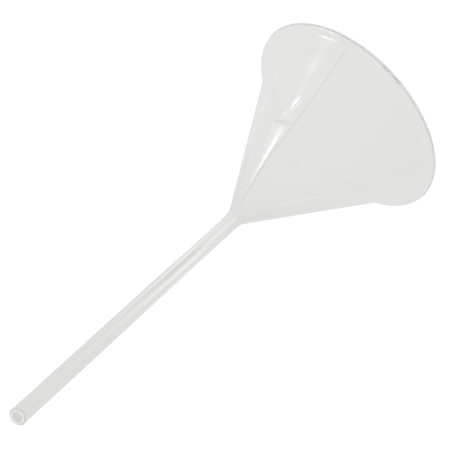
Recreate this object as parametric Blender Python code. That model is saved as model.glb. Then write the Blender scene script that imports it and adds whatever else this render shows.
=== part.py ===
"""Laboratory funnel in clear glass: a 60 degree cone with a flared rim, sealed to a long thin tube whose
outlet is cut on a slant.

The funnel stands mouth down on its rim. The origin is the centre of the rim's flat face, +Z runs up the axis
towards the outlet, and the slanted cut of the outlet faces -Y. Lengths are in metres.

The glass is one fused body. It is modelled as the sections it is worked from: the cone, the flared rim, the
neck seal, the stem tube and its cut outlet. Each section is a closed solid of revolution.
"""

import math

import bmesh
import bpy

# Driving dimensions
RIM_RADIUS = 0.050
RIM_THICKNESS = 0.0016
CONE_HALF_ANGLE = math.radians(30.0)
JUNCTION_Z = 0.0747  # where the cone's outer line would meet the stem's outer line
BOWL_WALL = 0.0015
STEM_RADIUS = 0.0037
BORE_RADIUS = 0.0021
OUTLET_Z = 0.1987  # where the axis crosses the slanted cut
OUTLET_SLANT = math.radians(28.0)  # of the cut, from square
SEAM_GAP = 0.0003

# Rounding
FLARE_FILLET = 0.0020  # in the corner behind the flared rim
RIM_EDGE_BACK = 0.0008
RIM_EDGE_FACE = 0.0007
NECK_FILLET = 0.0060
THROAT_FILLET = 0.0045
OUTLET_EDGE = 0.0004

# Where one section ends and the next begins
RIM_TOP_Z = 0.0060
NECK_BOTTOM_Z = 0.0660
NECK_TOP_Z = 0.0800
OUTLET_BOTTOM_Z = 0.1900

# Facets
BOWL_SIDES = 64
STEM_SIDES = 32
ARC_STEPS = 5

GLASS_IOR = 1.47


def outer_cone_radius(z):
    return STEM_RADIUS + (JUNCTION_Z - z) * math.tan(CONE_HALF_ANGLE)


def inner_cone_radius(z):
    return outer_cone_radius(z) - BOWL_WALL / math.cos(CONE_HALF_ANGLE)


def rounded_corner(before, corner, after, radius, steps=ARC_STEPS):
    """Points of the arc that rounds a corner between two straight lines of a profile."""
    bx, bz = before[0] - corner[0], before[1] - corner[1]
    ax, az = after[0] - corner[0], after[1] - corner[1]
    b_length, a_length = math.hypot(bx, bz), math.hypot(ax, az)
    bx, bz, ax, az = bx / b_length, bz / b_length, ax / a_length, az / a_length
    half = math.acos(bx * ax + bz * az) / 2
    reach = radius / math.sin(half)
    middle = math.hypot(bx + ax, bz + az)
    centre = (corner[0] + (bx + ax) / middle * reach, corner[1] + (bz + az) / middle * reach)
    tangent = radius / math.tan(half)
    start = (corner[0] + bx * tangent, corner[1] + bz * tangent)
    end = (corner[0] + ax * tangent, corner[1] + az * tangent)
    first = math.atan2(start[1] - centre[1], start[0] - centre[0])
    turn = math.atan2(end[1] - centre[1], end[0] - centre[0]) - first
    turn = (turn + math.pi) % (2 * math.pi) - math.pi
    return [
        (
            centre[0] + radius * math.cos(first + turn * step / steps),
            centre[1] + radius * math.sin(first + turn * step / steps),
        )
        for step in range(steps + 1)
    ]


def revolved(name, profile, sides):
    """A closed solid made by turning a closed profile of (radius, z) points about the Z axis."""
    mesh = bpy.data.meshes.new(name)
    bm = bmesh.new()
    points = [bm.verts.new((radius, 0.0, z)) for radius, z in profile]
    edges = [bm.edges.new((points[i - 1], points[i])) for i in range(len(points))]
    bmesh.ops.spin(
        bm,
        geom=points + edges,
        cent=(0.0, 0.0, 0.0),
        axis=(0.0, 0.0, 1.0),
        angle=2 * math.pi,
        steps=sides,
        use_merge=True,
    )
    bmesh.ops.recalc_face_normals(bm, faces=bm.faces)
    bm.to_mesh(mesh)
    bm.free()
    mesh.shade_smooth()
    mesh.set_sharp_from_angle(angle=math.radians(35))
    piece = bpy.data.objects.new(name, mesh)
    bpy.context.scene.collection.objects.link(piece)
    return piece


def glass(name, colour):
    """Clear borosilicate glass with a faint tint of its own."""
    material = bpy.data.materials.new(name)
    material.use_nodes = True
    shader = material.node_tree.nodes["Principled BSDF"]
    shader.inputs["Base Color"].default_value = (*colour, 1.0)
    shader.inputs["Metallic"].default_value = 0.0
    shader.inputs["Roughness"].default_value = 0.02
    shader.inputs["Transmission Weight"].default_value = 1.0
    shader.inputs["IOR"].default_value = GLASS_IOR
    return material


def make_rim():
    """The mouth's flared rim: the cone turns outwards into a narrow flange with a melted, rounded edge."""
    back, face = RIM_THICKNESS, 0.0
    outer_start = (outer_cone_radius(RIM_TOP_Z), RIM_TOP_Z)
    inner_start = (inner_cone_radius(RIM_TOP_Z), RIM_TOP_Z)
    back_corner = (outer_cone_radius(back), back)
    face_corner = (inner_cone_radius(face), face)
    edge_back, edge_face = (RIM_RADIUS, back), (RIM_RADIUS, face)
    profile = [outer_start]
    profile += rounded_corner(outer_start, back_corner, edge_back, FLARE_FILLET)
    profile += rounded_corner(back_corner, edge_back, edge_face, RIM_EDGE_BACK)
    profile += rounded_corner(edge_back, edge_face, face_corner, RIM_EDGE_FACE)
    profile += rounded_corner(edge_face, face_corner, inner_start, FLARE_FILLET + BOWL_WALL)
    profile.append(inner_start)
    return revolved("flared_rim", profile, BOWL_SIDES)


def make_bowl():
    """The straight cone between the flared rim and the neck."""
    bottom, top = RIM_TOP_Z + SEAM_GAP, NECK_BOTTOM_Z - SEAM_GAP
    profile = [
        (outer_cone_radius(top), top),
        (outer_cone_radius(bottom), bottom),
        (inner_cone_radius(bottom), bottom),
        (inner_cone_radius(top), top),
    ]
    return revolved("bowl_cone", profile, BOWL_SIDES)


def make_neck():
    """The seal where the cone's point is melted onto the stem tube."""
    throat_z = JUNCTION_Z - (BORE_RADIUS + BOWL_WALL / math.cos(CONE_HALF_ANGLE) - STEM_RADIUS) / math.tan(
        CONE_HALF_ANGLE
    )
    outer_cone = (outer_cone_radius(NECK_BOTTOM_Z), NECK_BOTTOM_Z)
    outer_tube = (STEM_RADIUS, NECK_TOP_Z)
    inner_cone = (inner_cone_radius(NECK_BOTTOM_Z), NECK_BOTTOM_Z)
    inner_tube = (BORE_RADIUS, NECK_TOP_Z)
    profile = [outer_tube]
    profile += rounded_corner(outer_tube, (STEM_RADIUS, JUNCTION_Z), outer_cone, NECK_FILLET)
    profile += [outer_cone, inner_cone]
    profile += rounded_corner(inner_cone, (BORE_RADIUS, throat_z), inner_tube, THROAT_FILLET)
    profile.append(inner_tube)
    return revolved("neck_seal", profile, STEM_SIDES)


def make_stem():
    """The plain tube between the neck and the outlet."""
    bottom, top = NECK_TOP_Z + SEAM_GAP, OUTLET_BOTTOM_Z - SEAM_GAP
    profile = [(STEM_RADIUS, top), (STEM_RADIUS, bottom), (BORE_RADIUS, bottom), (BORE_RADIUS, top)]
    return revolved("stem_tube", profile, STEM_SIDES)


def make_outlet():
    """The end of the stem, cut on a slant that faces -Y, with both edges melted smooth."""
    bottom, top = OUTLET_BOTTOM_Z, OUTLET_Z
    outer_foot, inner_foot = (STEM_RADIUS, bottom), (BORE_RADIUS, bottom)
    outer_lip, inner_lip = (STEM_RADIUS, top), (BORE_RADIUS, top)
    profile = [outer_foot, inner_foot]
    profile += rounded_corner(inner_foot, inner_lip, outer_lip, OUTLET_EDGE, 3)
    profile += rounded_corner(inner_lip, outer_lip, outer_foot, OUTLET_EDGE, 3)
    piece = revolved("slant_cut_outlet", profile, STEM_SIDES)
    for vertex in piece.data.vertices:
        share = (vertex.co.z - bottom) / (top - bottom)
        vertex.co.z += share * vertex.co.y * math.tan(OUTLET_SLANT)
    return piece


def main():
    for thing in list(bpy.data.objects):
        bpy.data.objects.remove(thing, do_unlink=True)
    sections = (
        (make_rim, "rim_glass", (0.80, 0.81, 0.80)),
        (make_bowl, "bowl_glass", (0.83, 0.83, 0.81)),
        (make_neck, "neck_glass", (0.78, 0.78, 0.76)),
        (make_stem, "stem_glass", (0.80, 0.80, 0.79)),
        (make_outlet, "outlet_glass", (0.77, 0.77, 0.76)),
    )
    for make, glass_name, colour in sections:
        make().data.materials.append(glass(glass_name, colour))


main()
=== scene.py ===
"""Looks of the long-stemmed laboratory funnel: clear glass standing mouth down on a white studio floor.

Each worked section of the glass gets a finely rounded piece that stands for its CAD node. Neighbouring pieces
meet in one plane, and their end faces there let light straight through, so the glass reads as one fused body.
"""
import math

import bpy
from mathutils import Matrix, Vector


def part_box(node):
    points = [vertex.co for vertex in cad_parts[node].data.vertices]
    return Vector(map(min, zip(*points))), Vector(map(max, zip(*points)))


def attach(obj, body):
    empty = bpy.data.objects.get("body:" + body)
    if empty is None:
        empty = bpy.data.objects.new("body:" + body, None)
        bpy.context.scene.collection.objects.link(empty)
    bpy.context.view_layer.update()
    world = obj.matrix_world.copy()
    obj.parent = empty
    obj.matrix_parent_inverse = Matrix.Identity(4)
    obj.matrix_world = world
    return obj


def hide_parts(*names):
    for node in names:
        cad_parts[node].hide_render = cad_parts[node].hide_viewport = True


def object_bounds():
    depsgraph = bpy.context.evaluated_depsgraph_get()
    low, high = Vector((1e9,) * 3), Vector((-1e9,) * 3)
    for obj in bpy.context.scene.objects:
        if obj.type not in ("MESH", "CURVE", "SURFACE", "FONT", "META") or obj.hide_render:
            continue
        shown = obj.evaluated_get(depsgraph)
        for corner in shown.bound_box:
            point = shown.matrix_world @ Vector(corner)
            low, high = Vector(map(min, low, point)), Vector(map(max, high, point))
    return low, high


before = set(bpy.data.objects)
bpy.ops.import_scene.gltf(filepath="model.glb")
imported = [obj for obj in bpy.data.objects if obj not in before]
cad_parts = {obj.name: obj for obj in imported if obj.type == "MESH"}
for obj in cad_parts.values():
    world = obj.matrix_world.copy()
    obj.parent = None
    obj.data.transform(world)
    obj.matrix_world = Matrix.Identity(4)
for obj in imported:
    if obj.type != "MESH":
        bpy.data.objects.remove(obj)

CAD_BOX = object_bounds()

# Shape of the glass, in metres
CONE_HALF_ANGLE = math.radians(30.0)
BOWL_WALL = 0.0015
BORE_RADIUS = 0.0021
RIM_THICKNESS = 0.0016
FLARE_FILLET = 0.0020
RIM_EDGE_BACK = 0.0008
RIM_EDGE_FACE = 0.0007
NECK_FILLET = 0.0060
THROAT_FILLET = 0.0045
OUTLET_EDGE = 0.0004
OUTLET_SLANT = math.radians(28.0)
OUTLET_Z = 0.1987  # where the axis crosses the slanted cut

# Fineness of the meshes
SIDES = 256
ARC_STEPS = 16
LIP_STEPS = 8
BOWL_STEPS = 24
STEM_STEPS = 30
SHARP_ANGLE = math.radians(35.0)
SAME_PLANE = 1e-7

# Camera. It is turned about its own line of sight, so the funnel lies across the picture.
CAMERA_PLACE = Vector((0.0007, -0.4270, 0.2711))
CAMERA_TILT = math.radians(65.93)
CAMERA_ROLL = math.radians(-132.4)
CAMERA_LENS = 88.0
SENSOR = 36.0


def seam_height(lower, upper):
    """The plane halfway between two CAD sections, where the finished sections meet."""
    return (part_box(lower)[1].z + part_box(upper)[0].z) / 2


RIM_SEAM = seam_height("flared_rim", "bowl_cone")
NECK_SEAM = seam_height("bowl_cone", "neck_seal")
STEM_SEAM = seam_height("neck_seal", "stem_tube")
OUTLET_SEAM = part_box("stem_tube")[1].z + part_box("stem_tube")[0].z - STEM_SEAM
RIM_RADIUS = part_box("flared_rim")[1].x
STEM_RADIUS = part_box("stem_tube")[1].x
BOWL_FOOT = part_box("bowl_cone")[0].z
BOWL_FOOT_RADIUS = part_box("bowl_cone")[1].x


def outer_cone(z):
    return BOWL_FOOT_RADIUS + (BOWL_FOOT - z) * math.tan(CONE_HALF_ANGLE)


def inner_cone(z):
    return outer_cone(z) - BOWL_WALL / math.cos(CONE_HALF_ANGLE)


JUNCTION_Z = BOWL_FOOT + (BOWL_FOOT_RADIUS - STEM_RADIUS) / math.tan(CONE_HALF_ANGLE)
THROAT_Z = BOWL_FOOT + (inner_cone(BOWL_FOOT) - BORE_RADIUS) / math.tan(CONE_HALF_ANGLE)


def rounded(before, corner, after, radius, steps=ARC_STEPS):
    """Points of the arc that rounds the corner between two straight lines of a profile."""
    before, corner, after = Vector(before), Vector(corner), Vector(after)
    to_before, to_after = (before - corner).normalized(), (after - corner).normalized()
    half = to_before.angle(to_after) / 2
    centre = corner + (to_before + to_after).normalized() * radius / math.sin(half)
    start = corner + to_before * radius / math.tan(half) - centre
    turn = math.pi - 2 * half
    if start.x * to_before.y - start.y * to_before.x > 0:
        turn = -turn
    points = []
    for step in range(steps + 1):
        angle = turn * step / steps
        spun = Vector((start.x * math.cos(angle) - start.y * math.sin(angle),
                       start.x * math.sin(angle) + start.y * math.cos(angle)))
        points.append(tuple(centre + spun))
    return points


def straight(start, end, steps):
    return [tuple(Vector(start).lerp(Vector(end), step / steps)) for step in range(1, steps)]


def turned(name, outline, seams, shaping=None):
    """A closed piece turned about Z. outline is a closed loop of (radius, height); a line of it that lies in
    one of the seam planes becomes a seam face, where the glass runs on into the next section."""
    verts, faces, kinds = [], [], []
    count = len(outline)
    area = sum(outline[i - 1][0] * outline[i][1] - outline[i][0] * outline[i - 1][1] for i in range(count))
    if area < 0:
        outline = outline[::-1]
    for side in range(SIDES):
        angle = 2 * math.pi * side / SIDES
        for radius, z in outline:
            if shaping:
                radius, z = shaping(angle, radius, z)
            verts.append((radius * math.cos(angle), radius * math.sin(angle), z))
    for side in range(SIDES):
        here, there = side * count, (side + 1) % SIDES * count
        for i in range(count):
            j = (i + 1) % count
            faces.append((here + i, there + i, there + j, here + j))
            kinds.append(any(max(abs(outline[i][1] - z), abs(outline[j][1] - z)) < SAME_PLANE for z in seams))
    mesh = bpy.data.meshes.new(name)
    mesh.from_pydata(verts, [], faces)
    mesh.polygons.foreach_set("material_index", kinds)
    mesh.shade_smooth()
    mesh.set_sharp_from_angle(angle=SHARP_ANGLE)
    piece = bpy.data.objects.new(name, mesh)
    bpy.context.scene.collection.objects.link(piece)
    return piece


def rim_outline():
    outer, inner = (outer_cone(RIM_SEAM), RIM_SEAM), (inner_cone(RIM_SEAM), RIM_SEAM)
    back, face = (outer_cone(RIM_THICKNESS), RIM_THICKNESS), (inner_cone(0.0), 0.0)
    edge_back, edge_face = (RIM_RADIUS, RIM_THICKNESS), (RIM_RADIUS, 0.0)
    return [outer, *rounded(outer, back, edge_back, FLARE_FILLET),
            *rounded(back, edge_back, edge_face, RIM_EDGE_BACK),
            *rounded(edge_back, edge_face, face, RIM_EDGE_FACE),
            *rounded(edge_face, face, inner, FLARE_FILLET + BOWL_WALL), inner]


def bowl_outline():
    foot, top = RIM_SEAM, NECK_SEAM
    a, b = (outer_cone(top), top), (outer_cone(foot), foot)
    c, d = (inner_cone(foot), foot), (inner_cone(top), top)
    return [a, *straight(a, b, BOWL_STEPS), b, c, *straight(c, d, BOWL_STEPS), d]


def neck_outline():
    outer_foot, inner_foot = (outer_cone(NECK_SEAM), NECK_SEAM), (inner_cone(NECK_SEAM), NECK_SEAM)
    outer_top, inner_top = (STEM_RADIUS, STEM_SEAM), (BORE_RADIUS, STEM_SEAM)
    return [outer_top, *rounded(outer_top, (STEM_RADIUS, JUNCTION_Z), outer_foot, NECK_FILLET), outer_foot,
            inner_foot, *rounded(inner_foot, (BORE_RADIUS, THROAT_Z), inner_top, THROAT_FILLET), inner_top]


def stem_outline():
    a, b = (STEM_RADIUS, OUTLET_SEAM), (STEM_RADIUS, STEM_SEAM)
    c, d = (BORE_RADIUS, STEM_SEAM), (BORE_RADIUS, OUTLET_SEAM)
    return [a, *straight(a, b, STEM_STEPS), b, c, *straight(c, d, STEM_STEPS), d]


def outlet_outline():
    outer_foot, inner_foot = (STEM_RADIUS, OUTLET_SEAM), (BORE_RADIUS, OUTLET_SEAM)
    outer_lip, inner_lip = (STEM_RADIUS, OUTLET_Z), (BORE_RADIUS, OUTLET_Z)
    return [outer_foot, inner_foot, *rounded(inner_foot, inner_lip, outer_lip, OUTLET_EDGE, LIP_STEPS),
            *rounded(inner_lip, outer_lip, outer_foot, OUTLET_EDGE, LIP_STEPS)]


def slanted(angle, radius, z):
    """Leans the cut of the outlet so that it faces -Y, more the further up the tube a point is."""
    share = (z - OUTLET_SEAM) / (OUTLET_Z - OUTLET_SEAM)
    return radius, z + share * radius * math.sin(angle) * math.tan(OUTLET_SLANT)


def math_node(tree, operation, first, second=None, third=None):
    node = tree.nodes.new("ShaderNodeMath")
    node.operation = operation
    for socket, value in zip(node.inputs, (first, second, third)):
        if isinstance(value, (int, float)):
            socket.default_value = value
        elif value is not None:
            tree.links.new(value, socket)
    return node.outputs["Value"]


def ramp(tree, value, stops):
    """Colours blended smoothly between stops of (place from 0 to 1, colour)."""
    node = tree.nodes.new("ShaderNodeValToRGB")
    node.color_ramp.interpolation = "EASE"
    while len(node.color_ramp.elements) < len(stops):
        node.color_ramp.elements.new(0.5)
    for element, (place, colour) in zip(node.color_ramp.elements, stops):
        element.position = place
        element.color = (*colour, 1.0)
    tree.links.new(value, node.inputs["Fac"])
    return node.outputs["Color"]


def vector_node(tree, operation, first, second=None):
    node = tree.nodes.new("ShaderNodeVectorMath")
    node.operation = operation
    tree.links.new(first, node.inputs[0])
    if second is not None:
        node.inputs[1].default_value = second
    return node.outputs["Value" if operation in ("LENGTH", "DISTANCE") else "Vector"]


def split_xyz(tree, vector):
    node = tree.nodes.new("ShaderNodeSeparateXYZ")
    tree.links.new(vector, node.inputs["Vector"])
    return node.outputs


def grey(stops):
    """Stops of (place, brightness) as stops of (place, colour)."""
    return [(place, (value, value, value)) for place, value in stops]


def noise(tree, place, scale, detail=2.0):
    node = tree.nodes.new("ShaderNodeTexNoise")
    node.inputs["Scale"].default_value = scale
    node.inputs["Detail"].default_value = detail
    tree.links.new(place, node.inputs["Vector"])
    return node.outputs["Fac"]


def step(tree, value, low, high):
    """0 below low, 1 above high, and smooth between them."""
    node = tree.nodes.new("ShaderNodeMapRange")
    node.interpolation_type = "SMOOTHSTEP"
    node.inputs["From Min"].default_value = low
    node.inputs["From Max"].default_value = high
    tree.links.new(value, node.inputs["Value"])
    return node.outputs["Result"]


def scratches(tree, place):
    """Short fine curved scratches, here and there."""
    wave = tree.nodes.new("ShaderNodeTexWave")
    wave.inputs["Scale"].default_value = SCRATCH_SCALE
    wave.inputs["Distortion"].default_value = SCRATCH_DISTORTION
    wave.inputs["Detail"].default_value = 2.0
    wave.inputs["Detail Scale"].default_value = 0.6
    tree.links.new(place, wave.inputs["Vector"])
    line = step(tree, wave.outputs["Fac"], *SCRATCH_EDGE)
    return math_node(tree, "MULTIPLY", line, step(tree, noise(tree, place, SCRATCH_SPREAD), 0.57, 0.63))


def specks(tree, place):
    """Small seeds and specks of dust."""
    cells = tree.nodes.new("ShaderNodeTexVoronoi")
    cells.inputs["Scale"].default_value = SPECK_SCALE
    tree.links.new(place, cells.inputs["Vector"])
    dots = step(tree, cells.outputs["Distance"], *SPECK_EDGE)
    return math_node(tree, "MULTIPLY", dots, step(tree, noise(tree, place, SPECK_SPREAD), 0.46, 0.56))


def darkened(tree, colour, mask, tint):
    """The colour, multiplied by the tint where the mask is 1."""
    node = tree.nodes.new("ShaderNodeMix")
    node.data_type = "RGBA"
    node.blend_type = "MULTIPLY"
    tree.links.new(mask, node.inputs["Factor"])
    tree.links.new(colour, node.inputs["A"])
    node.inputs["B"].default_value = (*tint, 1.0)
    return node.outputs["Result"]


def painted_edge_shades(tree, colour, place):
    """Painted shade: darkens the glass's colour at three places where the eye looks along the glass: the
    rim's rounded edge, mostly on its -Y side, the back of the bore near the cut, and the outer lip of the
    cut."""
    apart = split_xyz(tree, place)
    radius = vector_node(tree, "LENGTH", vector_node(tree, "MULTIPLY", place, SIDEWAYS))
    up_to_cut = math_node(tree, "MULTIPLY_ADD", apart["Y"], -math.tan(OUTLET_SLANT), apart["Z"])
    # Painted shade on the rim's rounded edge, full on its -Y side and fading out towards +Y.
    rim = math_node(tree, "MULTIPLY", step(tree, radius, RIM_RADIUS - 0.0005, RIM_RADIUS - 0.0001),
                    step(tree, apart["Y"], 0.035, 0.005))
    # Painted shade on the bore's +Y wall just below the slanted cut.
    bore = math_node(tree, "MULTIPLY", step(tree, radius, BORE_RADIUS + 0.0003, BORE_RADIUS + 0.0001),
                     step(tree, up_to_cut, OUTLET_Z - 0.0034, OUTLET_Z - 0.0024))
    bore = math_node(tree, "MULTIPLY", bore, step(tree, apart["Y"], -0.0014, 0.0))
    # Painted shade on the outer lip of the slanted cut.
    lip = math_node(tree, "MULTIPLY", step(tree, radius, STEM_RADIUS - 0.0004, STEM_RADIUS - 0.00015),
                    step(tree, up_to_cut, OUTLET_Z - 0.0009, OUTLET_Z - 0.0004))
    # Each mask's shade is painted into the glass's colour.
    for mask, tint in ((rim, RIM_EDGE_PAINTED_SHADE), (bore, BORE_PAINTED_SHADE), (lip, LIP_PAINTED_SHADE)):
        colour = darkened(tree, colour, mask, tint)
    return colour


def glass(name, draw_lines):
    """Clear glass with a faint tint that follows its height, painted shade at the rim's edge, in the bore
    near the cut and on the cut's lip, scratches and specks, and slightly uneven surfaces. draw_lines is the
    height, in metres, of the fine lines that run with the axis."""
    material = bpy.data.materials.new(name)
    material.use_nodes = True
    tree = material.node_tree
    shader = tree.nodes["Principled BSDF"]
    shader.inputs["Transmission Weight"].default_value = 1.0
    shader.inputs["IOR"].default_value = GLASS_IOR
    place = tree.nodes.new("ShaderNodeTexCoord").outputs["Object"]
    share = math_node(tree, "DIVIDE", split_xyz(tree, place)["Z"], CAD_BOX[1].z)
    marks = math_node(tree, "MAXIMUM", scratches(tree, place), specks(tree, place))

    colour = darkened(tree, ramp(tree, share, TINT_STOPS), marks, MARK_TINT)
    # The glass's colour, with painted shade at the rim's edge, the bore near the cut and the cut's lip.
    tree.links.new(painted_edge_shades(tree, colour, place), shader.inputs["Base Color"])

    smears = step(tree, noise(tree, place, SMEAR_SCALE, 3.0), 0.45, 0.8)
    smears = math_node(tree, "MULTIPLY", smears, SMEAR_ROUGHNESS)
    tree.links.new(math_node(tree, "MULTIPLY_ADD", marks, MARK_ROUGHNESS, smears), shader.inputs["Roughness"])

    round_axis = vector_node(tree, "NORMALIZE", vector_node(tree, "MULTIPLY", place, SIDEWAYS))
    lines = math_node(tree, "MULTIPLY", noise(tree, round_axis, LINE_SCALE, 1.5), draw_lines)
    bump = tree.nodes.new("ShaderNodeBump")
    bump.inputs["Distance"].default_value = 1.0
    tree.links.new(math_node(tree, "MULTIPLY_ADD", noise(tree, place, WAVE_SCALE, 1.0), WAVE_HEIGHT, lines),
                   bump.inputs["Height"])
    tree.links.new(bump.outputs["Normal"], shader.inputs["Normal"])
    return material


def seam_material():
    """For the faces where two sections meet: light goes straight on, as in one piece of glass."""
    material = bpy.data.materials.new("fused_seam")
    material.use_nodes = True
    tree = material.node_tree
    tree.nodes.clear()
    out = tree.nodes.new("ShaderNodeOutputMaterial")
    clear = tree.nodes.new("ShaderNodeBsdfTransparent")
    tree.links.new(clear.outputs["BSDF"], out.inputs["Surface"])
    return material


# Looks of the glass. Heights are in metres, and each tint acts once for each surface that light crosses.
GLASS_IOR = 1.47
SIDEWAYS = (1.0, 1.0, 0.0)
CLEAR = (0.998, 0.998, 0.998)
THICK = (0.977, 0.976, 0.978)
TINT_STOPS = ((0.0, CLEAR), (0.20, CLEAR), (0.37, THICK), (0.45, (0.997, 0.997, 0.997)),
              (0.9, (0.996, 0.996, 0.996)), (1.0, (0.990, 0.989, 0.988)))
MARK_TINT = (0.955, 0.955, 0.958)
# Painted shade: how dark the glass's colour is made at the rim's edge, the bore near the cut and the cut's
# outer lip.
RIM_EDGE_PAINTED_SHADE = (0.86, 0.86, 0.865)
BORE_PAINTED_SHADE = (0.80, 0.80, 0.78)
LIP_PAINTED_SHADE = (0.75, 0.75, 0.75)
MARK_ROUGHNESS = 0.08
SMEAR_ROUGHNESS = 0.012
SMEAR_SCALE = 70.0
SCRATCH_SCALE = 30.0
SCRATCH_DISTORTION = 14.0
SCRATCH_EDGE = (0.985, 0.9995)
SCRATCH_SPREAD = 95.0
SPECK_SCALE = 150.0
SPECK_EDGE = (0.055, 0.02)
SPECK_SPREAD = 60.0
LINE_SCALE = 9.0
WAVE_SCALE = 45.0
WAVE_HEIGHT = 0.000008

# Piece, CAD node, outline, planes where it meets its neighbours, shaping, height of its draw lines
SECTIONS = (
    ("rim", "flared_rim", rim_outline, (RIM_SEAM,), None, 0.000001),
    ("bowl", "bowl_cone", bowl_outline, (RIM_SEAM, NECK_SEAM), None, 0.000003),
    ("neck", "neck_seal", neck_outline, (NECK_SEAM, STEM_SEAM), None, 0.0000004),
    ("stem", "stem_tube", stem_outline, (STEM_SEAM, OUTLET_SEAM), None, 0.0000008),
    ("outlet", "slant_cut_outlet", outlet_outline, (OUTLET_SEAM,), slanted, 0.0000008),
)
SEAM = seam_material()
for name, cad_node, outline, seams, shaping, draw_lines in SECTIONS:
    piece = turned(name + "_section", outline(), seams, shaping)
    piece.data.materials.append(glass(name + "_glass_look", draw_lines))
    piece.data.materials.append(SEAM)
    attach(piece, "root")
    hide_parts(cad_node)

# Light goes through many layers of glass before it leaves the rim and the stem
cycles = bpy.context.scene.cycles
cycles.blur_glossy = 0.0
cycles.max_bounces = 128
cycles.transmission_bounces = 128
cycles.glossy_bounces = 128
cycles.diffuse_bounces = 8
cycles.transparent_max_bounces = 64

# The studio. Seen directly it is all white. The glass shows it as a pale grey room, as a photograph cut out
# of its background does.
WHITE = 1.25
ROOM = (0.777, 0.777, 0.762)
DIM_SIDE = (0.66, 0.645, 0.63)
BRIGHT_SIDE = (0.77, 0.77, 0.757)

# The floor. Distances are in metres, and bearings are shares of a turn from the -X side.
FLOOR = -0.0001
FLOOR_REACH = 20.0
PAPER = (0.95, 0.95, 0.95, 1.0)
AXIS = (0.0, 0.0, 0.0)
POOL = (0.20, 0.05, 0.0)
FLOOR_STOPS = ((0.0, (0.81, 0.81, 0.80)), (0.10, (0.795, 0.795, 0.785)), (0.16, (0.786, 0.785, 0.772)),
               (0.205, (0.779, 0.779, 0.764)), (0.25, (0.764, 0.760, 0.745)), (0.30, (0.753, 0.751, 0.737)),
               (0.42, (0.746, 0.742, 0.727)), (0.60, (0.737, 0.731, 0.716)))
SECTOR_STOPS = ((0.50, 0.5), (0.56, 0.85), (0.61, 0.85), (0.66, 0.45), (0.735, 0.15), (0.752, 0.35),
                (0.775, 1.0), (0.815, 0.75), (0.845, 0.45), (0.875, 0.25), (0.94, 0.5))
SECTOR_DEPTH = 0.36
SECTOR_FADE = ((0.20, 0.0), (0.26, 1.0), (0.50, 0.22), (1.0, 0.0))
SECTOR_START = 0.26
SECTOR_TWIST = 0.14
PATCH = (-0.05, -0.20, 0.0)
PATCH_STRETCH = (1.0, 0.30, 1.0)
PATCH_EDGE = (0.05, 0.005)
PATCH_GLOW = 2.8


def seen_in_glass(tree):
    """1 for light that the glass reflects or lets through, 0 for what is seen or lit directly."""
    path = tree.nodes.new("ShaderNodeLightPath")
    return math_node(tree, "MAXIMUM", path.outputs["Is Glossy Ray"], path.outputs["Is Transmission Ray"])


def either(tree, output, direct, in_glass):
    """A world or material that is one thing seen directly and another in the glass."""
    out = tree.nodes.new(output)
    mix = tree.nodes.new("ShaderNodeMixShader")
    tree.links.new(seen_in_glass(tree), mix.inputs["Fac"])
    tree.links.new(direct, mix.inputs[1])
    tree.links.new(in_glass, mix.inputs[2])
    tree.links.new(mix.outputs["Shader"], out.inputs["Surface"])


def studio_world():
    """White, with the room that the glass shows darker on its -X side."""
    world = bpy.data.worlds.new("studio")
    bpy.context.scene.world = world
    world.use_nodes = True
    tree = world.node_tree
    tree.nodes.clear()
    white = tree.nodes.new("ShaderNodeBackground")
    white.inputs["Color"].default_value = (1.0, 1.0, 1.0, 1.0)
    white.inputs["Strength"].default_value = WHITE
    room = tree.nodes.new("ShaderNodeBackground")
    place = tree.nodes.new("ShaderNodeTexCoord").outputs["Generated"]
    side = math_node(tree, "MULTIPLY_ADD", split_xyz(tree, place)["X"], 0.5, 0.5)
    walls = ramp(tree, side, ((0.0, DIM_SIDE), (0.3, ROOM), (0.7, ROOM), (1.0, BRIGHT_SIDE)))
    tree.links.new(walls, room.inputs["Color"])
    either(tree, "ShaderNodeOutputWorld", white.outputs["Background"], room.outputs["Background"])


def bright_sectors(tree, place):
    """Broad light and dark sectors round the funnel, which the stem shows as long bands."""
    apart = split_xyz(tree, place)
    bearing = math_node(tree, "ARCTAN2", apart["Y"], apart["X"])
    bearing = math_node(tree, "MULTIPLY_ADD", bearing, 0.5 / math.pi, 0.5)
    away = vector_node(tree, "DISTANCE", place, AXIS)
    twisted = math_node(tree, "MULTIPLY_ADD", math_node(tree, "SUBTRACT", away, SECTOR_START), SECTOR_TWIST,
                        bearing)
    sectors = math_node(tree, "SUBTRACT", ramp(tree, twisted, grey(SECTOR_STOPS)), 0.5)
    sectors = math_node(tree, "MULTIPLY", sectors, ramp(tree, away, grey(SECTOR_FADE)))
    return math_node(tree, "MULTIPLY_ADD", sectors, SECTOR_DEPTH, 1.0)


def bright_patch(tree, place):
    """A bright patch on the floor in front, which the stem mirrors as a line down its middle."""
    squeezed = vector_node(tree, "MULTIPLY", place, PATCH_STRETCH)
    centre = [a * b for a, b in zip(PATCH, PATCH_STRETCH)]
    patch = step(tree, vector_node(tree, "DISTANCE", squeezed, centre), *PATCH_EDGE)
    mirrored_only = tree.nodes.new("ShaderNodeLightPath").outputs["Is Glossy Ray"]
    return math_node(tree, "MULTIPLY", mirrored_only, patch)


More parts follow.
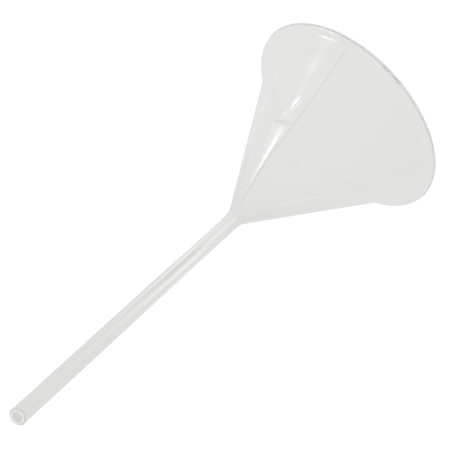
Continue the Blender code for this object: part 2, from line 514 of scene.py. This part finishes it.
def floor_material():
    """White paper, seen directly. Seen in the glass it glows instead, as painted light in the room's grey: a
    pool that is darker further out and to the -X side, with light and dark sectors and a bright patch.
    """
    material = bpy.data.materials.new("paper")
    material.use_nodes = True
    tree = material.node_tree
    tree.nodes.clear()
    paper = tree.nodes.new("ShaderNodeBsdfDiffuse")
    paper.inputs["Color"].default_value = PAPER
    room = tree.nodes.new("ShaderNodeEmission")
    place = tree.nodes.new("ShaderNodeTexCoord").outputs["Object"]
    pool = ramp(tree, vector_node(tree, "DISTANCE", place, POOL), FLOOR_STOPS)
    tree.links.new(pool, room.inputs["Color"])
    strength = math_node(tree, "MULTIPLY_ADD", bright_patch(tree, place), PATCH_GLOW,
                         bright_sectors(tree, place))
    tree.links.new(strength, room.inputs["Strength"])
    either(tree, "ShaderNodeOutputMaterial", paper.outputs["BSDF"], room.outputs["Emission"])
    return material


studio_world()
mesh = bpy.data.meshes.new("floor")
floor_corners = [(x * FLOOR_REACH, y * FLOOR_REACH, FLOOR) for x, y in ((-1, -1), (1, -1), (1, 1), (-1, 1))]
mesh.from_pydata(floor_corners, [], [(0, 1, 2, 3)])
floor = bpy.data.objects.new("floor", mesh)
bpy.context.scene.collection.objects.link(floor)
mesh.materials.append(floor_material())

# Cards and lamps round the funnel. Each is laid out by where its reflection lies on the glass, as an angle
# round the axis (in degrees) and a height (in metres), and hangs out along the reflected line of sight.
REACH = 1.5
LAYER_GAP = 0.01  # of the reach
STRIPS_ACROSS = 15
STRIPS_BETWEEN_MARKS = 8
CONE_LEANS = (30.0, 30.0)


def mirrored(point, normal, reach):
    """The place, this far off, that the camera sees mirrored at a point with this normal."""
    sight = (point - CAMERA_PLACE).normalized()
    return point + reach * (sight - 2 * sight.dot(normal) * normal)


def seen_at(angle, height, reach, lean):
    """The place that the camera sees mirrored in the cone's outside at this angle and height. lean is how far
    the glass there faces up."""
    turn = math.radians(angle)
    normal = Vector((math.cos(lean) * math.cos(turn), math.cos(lean) * math.sin(turn), math.sin(lean)))
    radius = outer_cone(height)
    return mirrored(Vector((radius * math.cos(turn), radius * math.sin(turn), height)), normal, reach)


def card_material(name):
    material = bpy.data.materials.new(name)
    material.use_nodes = True
    tree = material.node_tree
    tree.nodes.clear()
    out = tree.nodes.new("ShaderNodeOutputMaterial")
    glow = tree.nodes.new("ShaderNodeEmission")
    paint = tree.nodes.new("ShaderNodeVertexColor")
    paint.layer_name = "glow"
    tree.links.new(paint.outputs["Color"], glow.inputs["Color"])
    tree.links.new(glow.outputs["Emission"], out.inputs["Surface"])
    material.cycles.emission_sampling = "NONE"
    return material


CARD = card_material("card")


def steps(start, end, count):
    return [start + (end - start) * i / count for i in range(count + 1)]


def along(marks, count):
    """Rows evenly placed on the broken line through the marks."""
    rows = []
    for t in steps(0.0, len(marks) - 1.0, count):
        i = min(int(t), len(marks) - 2)
        rows.append([a + (b - a) * (t - i) for a, b in zip(marks[i], marks[i + 1])])
    return rows


def soft(x):
    return (1 - x * x) ** 2


def flat(x):
    return 1.0


def crest(x):
    """Steep on one side, with a long fall on the other."""
    return (x + 1) / 0.4 if x < -0.6 else ((1 - x) / 1.6) ** 1.5


def hang_card(name, verts, faces, colours, through=False):
    """A card that only the glass shows: mirrored in its outer face, and with through also by way of its
    inner faces, which doubles the card's strength."""
    made = bpy.data.meshes.new(name)
    made.from_pydata(verts, [], faces)
    paint = made.color_attributes.new("glow", "FLOAT_COLOR", "POINT")
    for k, colour in enumerate(colours):
        paint.data[k].color = (*colour, 1.0)
    made.materials.append(CARD)
    thing = bpy.data.objects.new(name, made)
    bpy.context.scene.collection.objects.link(thing)
    thing.visible_camera = False
    thing.visible_diffuse = False
    thing.visible_transmission = through
    thing.visible_volume_scatter = False
    thing.visible_shadow = False


def ribbon(name, marks, shape, layer=0, hue=(1.0, 1.0, 1.0), leans=CONE_LEANS, through=False):
    """A band of light or dark. Each mark is an angle and height on the glass, the band's half width there in
    degrees and in metres, and how much brighter (or darker, below 0) than the room it is. shape gives the
    share of that across the band, from -1 to 1. leans is how far the glass faces up at the band's two sides.
    A band of a higher layer hides those below it."""
    verts, faces, colours = [], [], []
    reach = REACH * (1 - LAYER_GAP * layer)
    across = steps(-1.0, 1.0, STRIPS_ACROSS)
    rows = along(marks, STRIPS_BETWEEN_MARKS * (len(marks) - 1))
    for angle, height, wide, tall, strength in rows:
        for x in across:
            lean = math.radians(leans[0] + (leans[1] - leans[0]) * (x + 1) / 2)
            verts.append(seen_at(angle + x * wide, height + x * tall, reach, lean))
            colours.append([max(0.0, room + tone * strength * shape(x)) for room, tone in zip(ROOM, hue)])
    width = len(across)
    for i in range(len(rows) - 1):
        for j in range(width - 1):
            k = i * width + j
            faces.append((k, k + 1, k + width + 1, k + width))
    hang_card(name, verts, faces, colours, through)


# The warm front card ends at the near edge and the far edge, straight lines on the cone
NEAR_EDGE = ((-54.8, 0.080), (-54.8, 0.066), (-56.3, 0.052), (-57.6, 0.0465), (-60.4, 0.0435), (-62.3, 0.035),
             (-62.9, 0.019), (-62.9, -0.010))
FAR_EDGE = ((-124.0, 0.080), (-127.0, 0.066), (-130.0, 0.052), (-130.6, 0.0465), (-130.9, 0.0435),
            (-131.4, 0.035), (-132.1, 0.019), (-133.0, -0.010))
WARM = (0.0, -0.16, -0.50)
BLACK = -0.77
# The near edge's dark line, mark by mark: degrees to one side of the edge, half width, strength
NEAR_LINE = ((-0.9, 3.0, BLACK), (-0.9, 3.0, BLACK), (0.3, 1.8, BLACK), (0.6, 1.5, BLACK), (0.7, 1.4, BLACK),
             (1.0, 1.1, BLACK), (0.8, 0.75, -0.60), (0.8, 0.75, -0.60))
ribbon("front_card", [((near[0] + far[0]) / 2, near[1], (near[0] - far[0]) / 2, 0.0, 1.0)
                      for near, far in zip(NEAR_EDGE, FAR_EDGE)], flat, 0, WARM)
ribbon("near_edge", [(a + aside, z, wide, 0.0, strength)
                     for (a, z), (aside, wide, strength) in zip(NEAR_EDGE, NEAR_LINE)], flat, 4, through=True)
ribbon("far_edge", [(a - 0.4, z, 0.6, 0.0, -0.35) for a, z in FAR_EDGE], flat, 4)

# The bright streak on the upper cone, the bar that ends it, and the softer band below
ribbon("streak_field", [(-50.0, 0.066, 3.5, 0.0, 0.7), (-50.8, 0.055, 4.0, 0.0, 0.9),
                        (-49.5, 0.0475, 6.5, 0.0, 0.9), (-48.9, 0.0380, 10.0, 0.0, 1.0)], flat, 1)
ribbon("streak_ridge", [(-50.6, 0.0655, 3.0, 0.0, 1.6), (-51.0, 0.060, 3.6, 0.0, 6.0),
                        (-50.8, 0.051, 4.6, 0.0, 9.0), (-50.4, 0.0435, 5.2, 0.0, 8.0),
                        (-49.5, 0.0382, 7.0, 0.0, 2.6)], crest, 2)
ribbon("streak_side", [(-57.0, 0.0465, 1.0, 0.0, 0.4), (-57.5, 0.0435, 2.2, 0.0, 1.0),
                       (-57.5, 0.0385, 2.8, 0.0, 0.8)], soft, 2)
ribbon("bar", [(-37.5, 0.0372, 0.0, 0.0007, -0.6), (-50.0, 0.0368, 0.0, 0.0007, BLACK),
               (-61.5, 0.0358, 0.0, 0.0006, BLACK)], soft, 3, through=True)
ribbon("band", [(-49.0, 0.0350, 5.0, 0.0, 0.6), (-51.0, 0.030, 5.0, 0.0, 1.0),
                (-50.3, 0.0233, 4.0, 0.0, 0.7), (-49.9, 0.0185, 4.0, 0.0, 0.6),
                (-49.9, 0.0136, 5.4, 0.0, 2.0), (-49.2, 0.0095, 5.2, 0.0, 0.8),
                (-49.0, 0.004, 4.5, 0.0, 0.3)], soft, 1)
ribbon("blob", [(-47.3, 0.0360, 2.0, 0.0, 0.3), (-47.3, 0.0340, 2.4, 0.0, 2.6),
                (-48.0, 0.0320, 2.0, 0.0, 0.8)], soft, 2)

# The small window-like glint, with a dark slit across it
ribbon("star", [(-51.0, 0.0320, 0.5, 0.0, 0.0), (-51.6, 0.0302, 3.8, 0.0, 6.0),
                (-52.2, 0.0283, 4.6, 0.0, 8.0), (-52.6, 0.0264, 3.8, 0.0, 6.0),
                (-52.6, 0.0250, 0.5, 0.0, 0.0)], soft, 3)
ribbon("star_slit", [(-52.3, 0.0302, 0.8, 0.0, BLACK), (-54.2, 0.0262, 0.8, 0.0, BLACK)], flat, 5)

# Faint glows along the near edge and above the rim
ribbon("edge_glow", [(-60.2, 0.026, 0.9, 0.0, 0.3), (-60.8, 0.0193, 1.1, 0.0, 0.6),
                     (-60.8, 0.004, 1.1, 0.0, 0.4)], soft, 2)
ribbon("rim_glow", [(-52.3, 0.0052, 3.0, 0.0, 0.4), (-52.3, 0.0036, 4.0, 0.0, 1.5),
                    (-52.3, 0.0020, 4.0, 0.0, 1.0)], soft, 2)

# The glint in the corner behind the flared rim, and the shade beside it
FILLET_Z = 0.0022
ribbon("fillet_lamp", [(-41.5, FILLET_Z, 0.0, 0.0, 1.0), (-47.0, FILLET_Z, 0.0, 0.0, 8.0),
                       (-52.0, FILLET_Z, 0.0, 0.0, 6.0), (-57.5, FILLET_Z, 0.0, 0.0, 1.0)],
       soft, 5, leans=(46.0, 68.0))
ribbon("fillet_shade", [(-50.0, FILLET_Z, 0.0, 0.0, -0.5), (-66.0, FILLET_Z, 0.0, 0.0, BLACK)],
       soft, 5, leans=(65.0, 74.0))

# The thin line low on the cone's far side
ribbon("low_line", [(-110.0, 0.072, 1.6, 0.0, 2.0), (-126.7, 0.066, 1.3, 0.0, 2.4),
                    (-138.2, 0.055, 1.0, 0.0, 2.0), (-143.3, 0.048, 1.0, 0.0, 1.6),
                    (-147.5, 0.038, 1.0, 0.0, 0.3)], soft, 4)

# A lamp that only the slanted cut mirrors
TIP_REACH = 0.15
TIP_SIDE = 0.0045
TIP_GLOW = (2.3, 2.3, 2.2)
CUT_NORMAL = Vector((0.0, -math.sin(OUTLET_SLANT), math.cos(OUTLET_SLANT)))
tip_corners = [Vector((x * TIP_SIDE, y * TIP_SIDE, OUTLET_Z + y * TIP_SIDE * math.tan(OUTLET_SLANT)))
               for x, y in ((-1, -1), (1, -1), (1, 1), (-1, 1))]
hang_card("tip_lamp", [mirrored(corner, CUT_NORMAL, TIP_REACH) for corner in tip_corners], [(0, 1, 2, 3)],
          [TIP_GLOW] * 4)

camera = bpy.data.objects.new("camera", bpy.data.cameras.new("camera"))
camera.data.lens = CAMERA_LENS
camera.data.sensor_width = SENSOR
camera.data.clip_start = 0.01
camera.data.clip_end = 100.0
camera.matrix_world = (Matrix.Translation(CAMERA_PLACE) @ Matrix.Rotation(CAMERA_TILT, 4, "X")
                       @ Matrix.Rotation(CAMERA_ROLL, 4, "Z"))
bpy.context.scene.collection.objects.link(camera)
bpy.context.scene.camera = camera
bpy.context.scene.view_settings.view_transform = "Standard"
